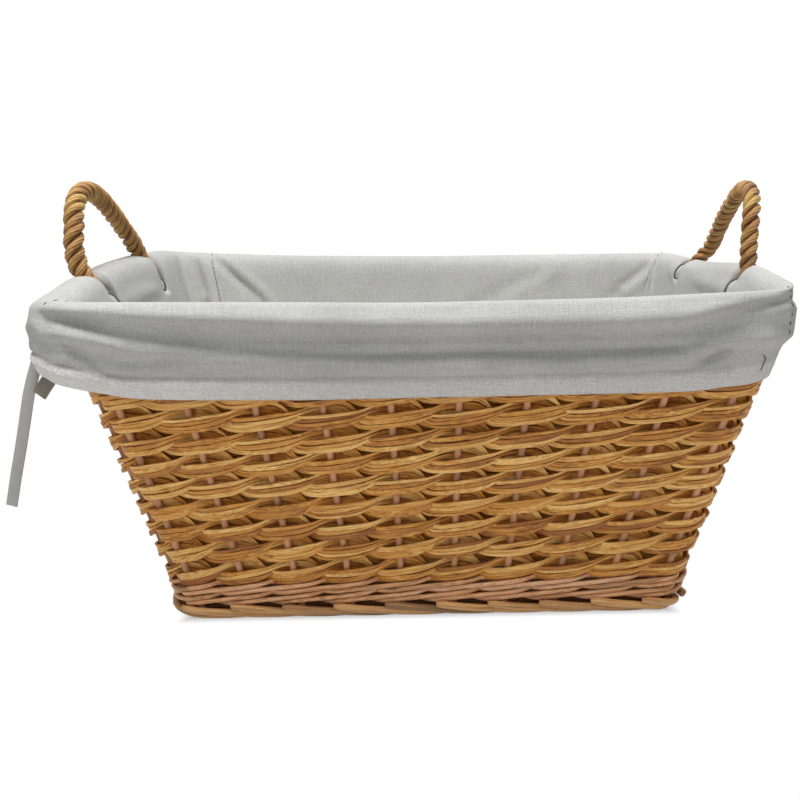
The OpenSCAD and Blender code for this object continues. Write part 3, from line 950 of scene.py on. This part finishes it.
# The soft crease of each cuff wall, as stakes past its first stake and height
CREASES = (
    ((-0.7, 0.232), (0.0, 0.227), (0.8, 0.2205), (1.6, 0.2170), (2.6, 0.2130), (3.8, 0.2105),
     (5.0, 0.2097), (5.8, 0.2098), (6.4, 0.2082), (7.1, 0.2088), (7.9, 0.2100), (8.4, 0.2185),
     (8.9, 0.2265), (9.5, 0.232)),
    ((-0.5, 0.230), (0.5, 0.216), (2.0, 0.207), (3.5, 0.2045), (5.0, 0.211), (6.5, 0.226)),
    ((-0.6, 0.228), (0.8, 0.217), (2.5, 0.206), (4.5, 0.2045), (6.5, 0.207), (8.3, 0.216),
     (9.6, 0.228)),
    ((-0.5, 0.226), (0.8, 0.213), (2.2, 0.205), (3.8, 0.206), (5.2, 0.212), (6.5, 0.229)),
)
# How much of the crease each wall has, its depth, its width above and below, and the
# depth of the rolls beside it; then its share along the front
CREASE_SHARES = (1.0, 0.6, 0.8, 0.3)
CREASE_DEPTH = 0.0094
CREASE_ABOVE = 0.0090
CREASE_BELOW = 0.0050
ROLL_DEPTH = 0.0030
FRONT_CREASE = ((0, 1.1), (1.5, 1.35), (3, 1.4), (7, 1.3), (8.5, 1.3), (9.3, 0.9), (10, 0.5),
                (33, 0.9), (34, 1.1))
# Where the cloth keeps clear of the sleeves on the rod
SLEEVE_PLACES = ((0, 0), (10.4, 0), (11.0, 1), (15.0, 1), (15.6, 0), (27.4, 0), (28.0, 1), (32.0, 1),
                 (32.6, 0), (34, 0))
# Where the cloth is stretched straight from the rod to the hoop below it
TIGHT = ((0, 0), (8.9, 0), (9.3, 1), (10.3, 1), (11.0, 0), (34, 0))
TIGHT_REACH = (0.0112, ROD_R + 0.0024)
# How pale the hem is, by stakes round the wall
HEM_PALE = ((0, 0.9), (1.5, 0.8), (3, 0.5), (8, 0.5), (33, 1.0), (34, 0.9))
# Sharper folds: their ends as (stake, height), depth and half width
FOLDS = (
    ((8.20, 0.1920), (8.95, 0.2130), 0.0034, 0.0034),
    ((8.75, 0.1890), (9.05, 0.2020), 0.0022, 0.0028),
    ((8.3, 0.2290), (9.0, 0.2300), 0.0010, 0.0024),
    ((0.30, 0.1985), (1.9, 0.2070), 0.0016, 0.0030),
    ((-0.45, 0.2280), (0.10, 0.1900), 0.0030, 0.0035),
    ((-0.20, 0.2300), (0.75, 0.2120), 0.0020, 0.0030),
    ((16.6, 0.2250), (17.6, 0.2000), 0.0025, 0.0035),
    ((25.4, 0.2000), (26.3, 0.2260), 0.0025, 0.0035),
)
# Folds of the inside: ends as (stake, height), depth and half width in stakes
INNER_FOLDS = (
    ((16.35, 0.236), (15.6, 0.150), 0.0040, 0.10),
    ((16.85, 0.236), (17.6, 0.205), 0.0035, 0.10),
    ((25.42, 0.238), (24.6, 0.200), 0.0040, 0.09),
    ((25.82, 0.238), (25.72, 0.150), 0.0045, 0.08),
    ((19.0, 0.228), (20.8, 0.186), 0.0018, 0.16),
)


def smooth_line(points, count):
    """Evenly spaced points on a smooth curve through the given ones."""
    p = np.array(points)
    p = np.concatenate([[2 * p[0] - p[1]], p, [2 * p[-1] - p[-2]]])
    fine = []
    for i in range(1, len(p) - 2):
        t = np.linspace(0, 1, 24, endpoint=i == len(p) - 3)[:, None]
        a, b, c, d = p[i - 1 : i + 3]
        cubic = (3 * b - a - 3 * c + d) * t**3
        fine.append(0.5 * (2 * b + (c - a) * t + (2 * a - 5 * b + 4 * c - d) * t**2 + cubic))
    return evenly(np.concatenate(fine), count)


def eased(value, low, high):
    """Goes smoothly from 0 at low to 1 at high."""
    t = np.clip((value - low) / (high - low), 0, 1)
    return t * t * (3 - 2 * t)


def round_wall(g, points):
    """A value given at some stakes, made smooth between them."""
    x, y = np.array(points).T
    return sum(np.interp((g + k) % STAKES, x, y) for k in (-0.4, -0.2, 0, 0.2, 0.4)) / 5


def stakes_past(g, place):
    """How many stakes each g lies past a place, by the shorter way round."""
    return (g - place + STAKES / 2) % STAKES - STAKES / 2


def fold_depth(g, z, ends, wide):
    """How close each place is to a fold: 1 on it, falling to 0 beside and past its ends."""
    (g0, z0), (g1, z1) = ends
    run = np.array([(g1 - g0) * STAKE_PITCH, z1 - z0])
    length = np.linalg.norm(run)
    run /= length
    x, y = stakes_past(g, g0) * STAKE_PITCH, z - z0
    along, beside = x * run[0] + y * run[1], x * run[1] - y * run[0]
    return eased(along, -0.004, 0.008) * eased(length - along, -0.008, 0.006) * bell(beside, wide)


def press_cuff(g, z):
    """Presses the soft creases and the sharper folds into the cuff."""
    moved = np.zeros_like(z)
    for wall, points in enumerate(CREASES):
        line = np.array(points)
        near = (g - WALL_STARTS[wall] + 3) % STAKES - 3
        inside = eased(np.minimum(near - line[0, 0], line[-1, 0] - near), 0, 0.5)
        above = z - np.interp(near, line[:, 0], line[:, 1])
        inside = inside * CREASE_SHARES[wall]
        if wall == 0:
            inside = inside * round_wall(g, FRONT_CREASE)
        moved -= inside * CREASE_DEPTH * bell(above, np.where(above > 0, CREASE_ABOVE, CREASE_BELOW))
        roll = inside * eased(9.3 - near, 0, 1.2) if wall == 0 else inside
        moved += roll * ROLL_DEPTH * (bell(above - 0.019, 0.008) + bell(above + 0.012, 0.006))
    for *ends, depth, wide in FOLDS:
        moved -= depth * fold_depth(g, z, ends, wide)
        moved += 0.6 * depth * fold_depth(g, z + wide * 1.7, ends, wide)
    return moved


def press_inside(g, z):
    """Presses folds into the inner walls, mostly beside the corner seams."""
    moved = np.zeros_like(z)
    for *ends, depth, wide in INNER_FOLDS:
        fold = fold_depth(g, z, ends, wide * STAKE_PITCH)
        ridge = fold_depth(g + wide * 1.6, z, ends, wide * STAKE_PITCH)
        moved += depth * (fold - 0.7 * ridge)
    return moved


def sew_seams(g):
    """A narrow groove at each corner seam, with a raised edge beside it."""
    moved = np.zeros_like(g)
    for seam in SEAMS:
        near = stakes_past(g, seam)
        moved += 0.0009 * bell(near - 0.10, 0.07) - 0.0012 * bell(near, 0.05)
    return moved


def liner_band():
    """The liner's walls and cuff as one band of cloth, and where its crest and hem are."""
    profile, along_profile = smooth_line(INSIDE + CREST + CUFF, BAND_ROWS)
    crest = int(np.argmax(profile[:, 1]))
    g, out = np.meshgrid(np.arange(STAKES * COLUMNS) / COLUMNS, profile[:, 0])
    z = np.repeat(profile[:, 1:], g.shape[1], axis=1)
    is_cuff = (np.arange(len(profile)) > crest)[:, None]
    below = CREST_TOP - z
    share = eased(np.abs(out), 0.004, 0.010)
    outer = eased(out, -0.006, 0.011)
    swells = cloth_noise(g, z, 1.1, 30, 1.0) * 0.0016 + cloth_noise(g, z, 3.0, 90, 5.0) * 0.0006
    hollows = np.clip(cloth_noise(g, z, 0.8, 12, 9.0), -1, 0.2) * 0.0035
    cuff_out = out + press_cuff(g, z) * eased(CUFF_TOP - z, -0.002, 0.004) + share * swells
    cuff_out += np.clip(round_wall(g, FLARE) * (below - 0.004), -0.008, 0.010)
    inner_out = out + share * (hollows + press_inside(g, z))
    out = np.where(is_cuff, cuff_out, inner_out) + outer * round_wall(g, BULGE)
    out += sew_seams(g) * share * np.where(is_cuff, 1, -1)
    high = eased(z, 0.12, CREST_TOP)
    hem_share = (z - CUFF_HEM) / (CREST_TOP - CUFF_HEM)
    lift, hem_lift = round_wall(g, CREST_LIFT) + CLOTH_LIFT, round_wall(g, HEM_LIFT) + CLOTH_LIFT
    cuff_lift = hem_lift + (lift - hem_lift) * np.clip(hem_share, 0, 1) ** 0.8
    z = z + np.where(is_cuff, cuff_lift, lift * high)
    hem_height = z - (CUFF_HEM + hem_lift)
    in_hem = is_cuff * (1 - eased(hem_height, sizes().hem_height - 0.0008, sizes().hem_height + 0.0004))
    groove = bell(hem_height - sizes().hem_height - 0.0004, 0.0016) * is_cuff
    out += HEM_STEP * in_hem - HEM_GROOVE * round_wall(g, HEM_PALE) ** 2 * groove
    return g, ring(g, keep_clear(g, out, z, is_cuff), z), along_profile, in_hem, crest


def keep_clear(g, out, z, is_cuff):
    """Moves the cloth off the rod, the sleeves, the hoops and the stakes under it."""
    hoop_z = RIM_Z - HOOP_DROP
    clearance = ROD_R + ROD_GAP
    clearance = clearance + (SLEEVE_CLEARANCE - clearance) * round_wall(g, SLEEVE_PLACES)
    clear_of_rod = np.sqrt(np.maximum(clearance**2 - (z - RIM_Z) ** 2, 0))
    slant = SLOPE * (RIM_Z - z)
    outside, inside = np.maximum(out, slant + clear_of_rod), np.minimum(out, slant - clear_of_rod)
    out = np.where(clear_of_rod > 0, np.where(is_cuff, outside, inside), out)
    stretched = np.interp(z, (hoop_z, RIM_Z), TIGHT_REACH) * round_wall(g, TIGHT)
    out = np.where(is_cuff & (z > hoop_z) & (z < RIM_Z), np.maximum(out, stretched), out)
    hoop = HOOP_BULGE * bell(z - hoop_z, 0.0052)
    low = z < CUFF_TOP - 0.004
    out = np.where(is_cuff & low, np.maximum(out, OUTER_REACH + hoop), out)
    return np.where(~is_cuff & low, np.minimum(out, -INNER_REACH - hoop), out)


# The slots: stakes from the wall's middle, width in grid columns, ends below the rod's
# middle inside and outside, and the rows that they may reach from the crest
SLOT_STAKES = 1.42
SLOT_COLUMNS = 4
SLOT_END = -0.0045
SLOT_END_OUT = -0.0075
SLOT_ROWS = 15


def cut_slots(points, crest):
    """The grid faces that are left out for the handles' ropes, and the edges round them,
    each as two grid places, with the cloth on their left."""
    holes, edges = set(), []
    for wall in (1, 3):
        for side in (-1, 1):
            middle = WALL_STARTS[wall] + (END_STAKES - 1) / 2 + side * SLOT_STAKES
            first = round(float(middle * COLUMNS - SLOT_COLUMNS / 2))
            last = first + SLOT_COLUMNS
            high = points[:, first + 2, 2] - RIM_Z
            rows = [
                i
                for i in range(crest - SLOT_ROWS, crest + SLOT_ROWS + 1)
                if high[i] > (SLOT_END_OUT if i > crest else SLOT_END)
            ]
            holes.update((i, j) for i in rows for j in range(first, last))
            top, bottom = rows[0], rows[-1] + 1
            edges.extend(((i + 1, first), (i, first)) for i in range(top, bottom))
            edges.extend(((i, last), (i + 1, last)) for i in range(top, bottom))
            edges.extend(((top, j), (top, j + 1)) for j in range(first, last))
            edges.extend(((bottom, j + 1), (bottom, j)) for j in range(first, last))
    return holes, edges


def turned_in(point):
    """Where the cloth at a slot's edge is turned in, close to the sleeve on the rod."""
    x, y, z = point
    axis = math.copysign(RIM_X, x)
    share = (SLEEVE_RADIUS + 0.0010) / math.hypot(x - axis, z - RIM_Z)
    return axis + (x - axis) * share, y, RIM_Z + (z - RIM_Z) * share


def grid_face(i, j, columns):
    """The point numbers of one face of a grid that closes on itself."""
    k = (j + 1) % columns
    return [i * columns + j, i * columns + k, (i + 1) * columns + k, (i + 1) * columns + j]


def outward(points, i, j):
    """The direction that the cloth faces at a point of its grid."""
    a = points[i, (j + 1) % points.shape[1]] - points[i, j - 1]
    b = points[min(i + 1, len(points) - 1), j] - points[i - 1, j]
    return unit(np.cross(b, a))


def stitch(points, start, end, share):
    """A stitch from one grid place part of the way to another, lifted off the cloth."""
    lift = outward(points, *start) * sizes().cloth_thickness * 0.7
    a, b = points[start] + lift, points[end] + lift
    return a, a + (b - a) * share


def sew(name, stitches, radius, finish):
    """Sewing thread: one short thread from the start to the end of each stitch."""
    parts = []
    section = round_section(radius, 5)
    for start, end in stitches:
        run = end - start
        side = unit(np.cross(unit(run), (0.31, 0.22, 0.93)))
        offset = section[:, :1] * side + section[:, 1:] * np.cross(side, unit(run))
        middle = [start + run * 0.2 + offset, end - run * 0.2 + offset]
        rings = np.stack([start + offset * 0.5, *middle, end + offset * 0.5])
        parts.append((rings, np.arange(4) * np.linalg.norm(run) / 3, np.arange(6) * radius, 0.5))
    return dress(tubes(name, parts, False), finish, "liner", "cotton_cloth")


class BASKET_OT_liner(bpy.types.Operator):
    """Sews the liner: its walls, the cuff folded over the rim, its floor and its stitches."""

    bl_idname = "basket.liner"
    bl_label = "Sew the liner"

    def execute(self, context):
        c = colours()
        finish = cloth_finish("cotton", c.cloth, c.hem)
        grid_g, points, along, in_hem, crest = liner_band()
        rows, columns = grid_g.shape
        step = STAKE_PITCH / COLUMNS
        holes, edges = cut_slots(points, crest)
        places = [(i, j) for i in range(rows - 1) for j in range(columns) if (i, j) not in holes]
        faces = [grid_face(i, j, columns) for i, j in places]
        uvs = [
            (b * step, along[a])
            for i, j in places
            for a, b in ((i, j), (i, j + 1), (i + 1, j + 1), (i + 1, j))
        ]
        every_point = points.reshape(-1, 3).tolist()
        turned = {}
        for start, end in edges:
            for place in (start, end):
                if place not in turned:
                    turned[place] = len(every_point)
                    every_point.append(turned_in(points[place]))
            on_cloth = [i * columns + j for i, j in (start, end)]
            faces.append([*on_cloth, turned[end], turned[start]])
            for (i, j), inwards in ((start, 0), (end, 0), (end, 0.004), (start, 0.004)):
                uvs.append((j * step + inwards, along[i] + inwards))
        tones = np.zeros(len(every_point))
        tones[: rows * columns] = (in_hem * round_wall(grid_g, HEM_PALE)).ravel()
        band = make_object("liner_cloth", every_point, faces, uvs, tones)
        thick = band.modifiers.new("Thickness", "SOLIDIFY")
        thick.thickness = sizes().cloth_thickness
        thick.offset = 0
        bpy.context.view_layer.objects.active = band
        bpy.ops.object.modifier_apply(modifier=thick.name)
        dress(
            band, finish, "liner", "cotton_cloth",
            "liner_front", "liner_right", "liner_back", "liner_left",
            "cuff_crest", "cuff_front", "cuff_right", "cuff_back", "cuff_left", "cuff_hem",
        )
        floor = self.floor(finish)
        threads = [self.corner_thread(points, crest), self.hem_thread(points, in_hem)]
        return {"FINISHED"}

    def corner_thread(self, points, crest):
        """Dark stitches along each corner seam: close ones inside, and a few outside."""
        stitches = []
        for seam in SEAMS:
            j = round(seam * COLUMNS) % points.shape[1]
            last = crest + (FRONT_SEAM_ROWS if seam == SEAMS[0] else SEAM_ROWS)
            for i in [*range(crest - INNER_SEAM_ROWS, crest - 4), *range(crest - 4, last, 2)]:
                stitches.append(stitch(points, (i, j), (i + 1, j), 0.9))
        j = round(CATCH_STAKE * COLUMNS)
        low = int(np.argmin(np.abs(points[crest:, j, 2] - CATCH_Z))) + crest
        curve = [(low, j), *((low + k, j + 1) for k in range(1, 5))]
        raised = [points[place] + outward(points, *place) * 0.0008 for place in curve]
        stitches.extend(zip(raised[:-1], raised[1:]))
        finish = thread_finish("dark_thread", colours().thread)
        return sew("corner_thread", stitches, 0.00036, finish)

    def hem_thread(self, points, in_hem):
        """Pale stitches along the top of the hem."""
        stitches = []
        columns = points.shape[1]
        for j in range(0, columns, 2):
            i = int(np.argmax(in_hem[:, j] > 0.5)) + 1
            stitches.append(stitch(points, (i, j), (i, (j + 1) % columns), 0.8))
        return sew("hem_thread", stitches, 0.00035, thread_finish("pale_thread", colours().hem))

    def floor(self, finish):
        """The liner's floor, slightly rumpled on the mat."""
        low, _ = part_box("liner_floor")
        g = np.arange(STAKES * 6) / 6
        columns = len(g)
        edge = ring(g, -FLOOR_INSET, low.z + 0 * g)
        shares = np.linspace(1, 0.02, 26)
        points = np.concatenate([edge * (share, share, 1) for share in shares])
        rise = [0.0016 * (noise.noise(Vector((x * 22, y * 22, 0.3))) + 0.4) for x, y, _ in points]
        points[:, 2] += 0.0004 + np.clip(rise, 0, 0.003)
        last = len(shares) - 1
        faces = [grid_face(i, j, columns) for i in range(last) for j in range(columns)]
        faces.append([last * columns + j for j in range(columns)])
        uvs = [points[corner][:2] for face in faces for corner in face]
        sheet = make_object("liner_floor_cloth", points, faces, uvs, np.zeros(len(points)))
        return dress(sheet, finish, "liner", "cotton_cloth", "liner_floor")


# ---------- ties ----------

TAPE_ROUTE = (
    (-0.2560, -0.147, 0.2150), (-0.2600, -0.147, 0.2090), (-0.2632, -0.148, 0.2010),
    (-0.2662, -0.149, 0.1920), (-0.2692, -0.150, 0.1820), (-0.2728, -0.150, 0.1670),
    (-0.2780, -0.150, 0.1460), (-0.2836, -0.150, 0.1250), (-0.2890, -0.150, 0.1030),
)
TAB_ROUTE = ((-0.2445, -0.150, 0.2030), (-0.2480, -0.1515, 0.1985), (-0.2530, -0.1525, 0.1925),
             (-0.2575, -0.1530, 0.1865), (-0.2610, -0.1530, 0.1815))


def ribbon(name, route, width, thickness, broad, turns):
    """A flat tape along a route, its width along broad, slightly turned on the way."""
    at = np.linspace(0, len(route) - 1, 12 * (len(route) - 1) + 1)
    line = np.stack([np.interp(at, np.arange(len(route)), column) for column in np.array(route).T], -1)
    line[3:-3] = smoothed(line, 3, mode="edge")[3:-3]
    axis = unit(np.gradient(line, axis=0))
    broad = unit(np.array(broad) - axis * (axis @ np.array(broad))[:, None])
    face = np.cross(axis, broad)
    turn = np.linspace(0, turns, len(line))[:, None]
    wide = broad * np.cos(turn) + face * np.sin(turn)
    flat = face * np.cos(turn) - broad * np.sin(turn)
    section = flat_section(width, thickness)
    rings = line[:, None] + section[None, :, :1] * wide[:, None] + section[None, :, 1:] * flat[:, None]
    far = distances(line)
    tape = tubes(name, [(rings, far, flat_girth(section), 0.0)], False)
    crisp_edges(tape)
    return tape, line, float(far[-1])


class BASKET_OT_ties(bpy.types.Operator):
    """Hangs the long tape and the short tab at the cuff's corner."""

    bl_idname = "basket.ties"
    bl_label = "Hang the ties"

    def execute(self, context):
        s, c = sizes(), colours()
        finish = cloth_finish("cotton_tape", c.tape, c.hem, 0.6)
        tape, line, length = ribbon("tape", TAPE_ROUTE, s.tape_width, 0.0011, (1, 0.15, 0), 0.25)
        dress(tape, finish, "liner", "cotton_tape", "tie_tape")
        worn = cloth_finish("worn_tape", c.worn, c.hem, 0.8)
        tab, _, _ = ribbon("tab", TAB_ROUTE, 0.010, 0.0016, (0.8, 0.1, -0.9), 0.2)
        dress(tab, worn, "liner", "cotton_tape", "tie_tab")
        return {"FINISHED"}


# ---------- stage ----------

CAMERA_PLACE = (-0.009, -0.8186, 0.3134)
CAMERA_TURN = (78.07, 1.34, 0.40)
LENS = 45.3
LIGHTS_AIM = Vector((0, 0, 0.12))
# Each light's name, place, size and power
LIGHTS = (
    ("key", (-0.25, -0.45, 1.9), 0.8, 29),
    ("fill", (-0.5, -1.9, 0.9), 1.0, 5),
    ("top", (0.45, 0.45, 1.8), 1.3, 12),
)
SOFT_LIGHT = 0.20
WHITE = (1, 1, 1, 1)
# Half the length and the width of the floor that keeps its shade
SHADED_X = 0.190
SHADED_Y = 0.124


class BASKET_OT_stage(bpy.types.Operator):
    """Sets the camera, the soft lights and the pale floor."""

    bl_idname = "basket.stage"
    bl_label = "Set the stage"

    def execute(self, context):
        self.camera(context)
        self.lights()
        self.floor()
        self.world(context)
        context.scene.view_settings.view_transform = "Standard"
        return {"FINISHED"}

    def camera(self, context):
        turn = [math.radians(angle) for angle in CAMERA_TURN]
        bpy.ops.object.camera_add(location=CAMERA_PLACE, rotation=turn)
        camera = context.object
        camera.name = "camera"
        camera.data.lens = LENS
        camera.data.sensor_width = 36
        context.scene.camera = camera

    def lights(self):
        for name, place, wide, power in LIGHTS:
            bpy.ops.object.light_add(type="AREA", location=place)
            light = bpy.context.object
            light.name = name
            light.data.size = wide
            light.data.energy = power
            aim = LIGHTS_AIM - Vector(place)
            light.rotation_euler = aim.to_track_quat("-Z", "Y").to_euler()

    def floor(self):
        bpy.ops.mesh.primitive_plane_add(size=12, location=(0, 0, 0))
        floor = bpy.context.object
        floor.name = "floor"
        f = Finish("floor_paint")
        x, y, _ = f.parts(f.place())
        past_end = x.sum_of("ABSOLUTE", x) - SHADED_X
        past_side = y.sum_of("ABSOLUTE", y) - SHADED_Y
        far = f.grey(x.sum_of("MAXIMUM", past_end, past_side), -0.020, -0.002)
        lit = f.add("ShaderNodeBsdfDiffuse", None, {"Color": (0.70, 0.70, 0.70, 1)})
        white = f.add("ShaderNodeEmission", None, {"Color": WHITE, "Strength": 1.0})
        mixed = f.add("ShaderNodeMixShader", None, (far * f.seen_directly(), lit, white))
        floor.data.materials.append(f.end(mixed))

    def world(self, context):
        f = Finish("studio", "World")
        soft, white = (
            f.add("ShaderNodeBackground", None, {"Color": WHITE, "Strength": strength})
            for strength in (SOFT_LIGHT, 1.0)
        )
        mixed = f.add("ShaderNodeMixShader", None, (f.seen_directly(), soft, white))
        context.scene.world = f.end(mixed)


class BASKET_PT_panel(bpy.types.Panel):
    """The basket's pieces and settings, in the sidebar."""

    bl_label = "Wicker basket"
    bl_space_type = "VIEW_3D"
    bl_region_type = "UI"
    bl_category = "Basket"

    def draw(self, context):
        for operator in OPERATORS:
            self.layout.operator(operator.bl_idname)
        for group in (context.scene.basket_sizes, context.scene.basket_colours):
            box = self.layout.box()
            for name in group.__annotations__:
                box.prop(group, name)


OPERATORS = (
    BASKET_OT_stage,
    BASKET_OT_ties,
    BASKET_OT_frame,
    BASKET_OT_weave,
    BASKET_OT_wale,
    BASKET_OT_foot,
    BASKET_OT_handles,
    BASKET_OT_liner,
)
CLASSES = (BasketSizes, BasketColours, *OPERATORS, BASKET_PT_panel)


def register():
    for cls in CLASSES:
        bpy.utils.register_class(cls)
    bpy.types.Scene.basket_sizes = PointerProperty(type=BasketSizes)
    bpy.types.Scene.basket_colours = PointerProperty(type=BasketColours)


def unregister():
    del bpy.types.Scene.basket_colours
    del bpy.types.Scene.basket_sizes
    for cls in reversed(CLASSES):
        bpy.utils.unregister_class(cls)


def main():
    """Builds the whole basket."""
    register()
    bpy.ops.basket.stage()
    bpy.ops.basket.ties()
    bpy.ops.basket.frame()
    bpy.ops.basket.weave()
    bpy.ops.basket.wale()
    bpy.ops.basket.foot()
    bpy.ops.basket.handles()
    bpy.ops.basket.liner()


if __name__ == "__main__":
    main()
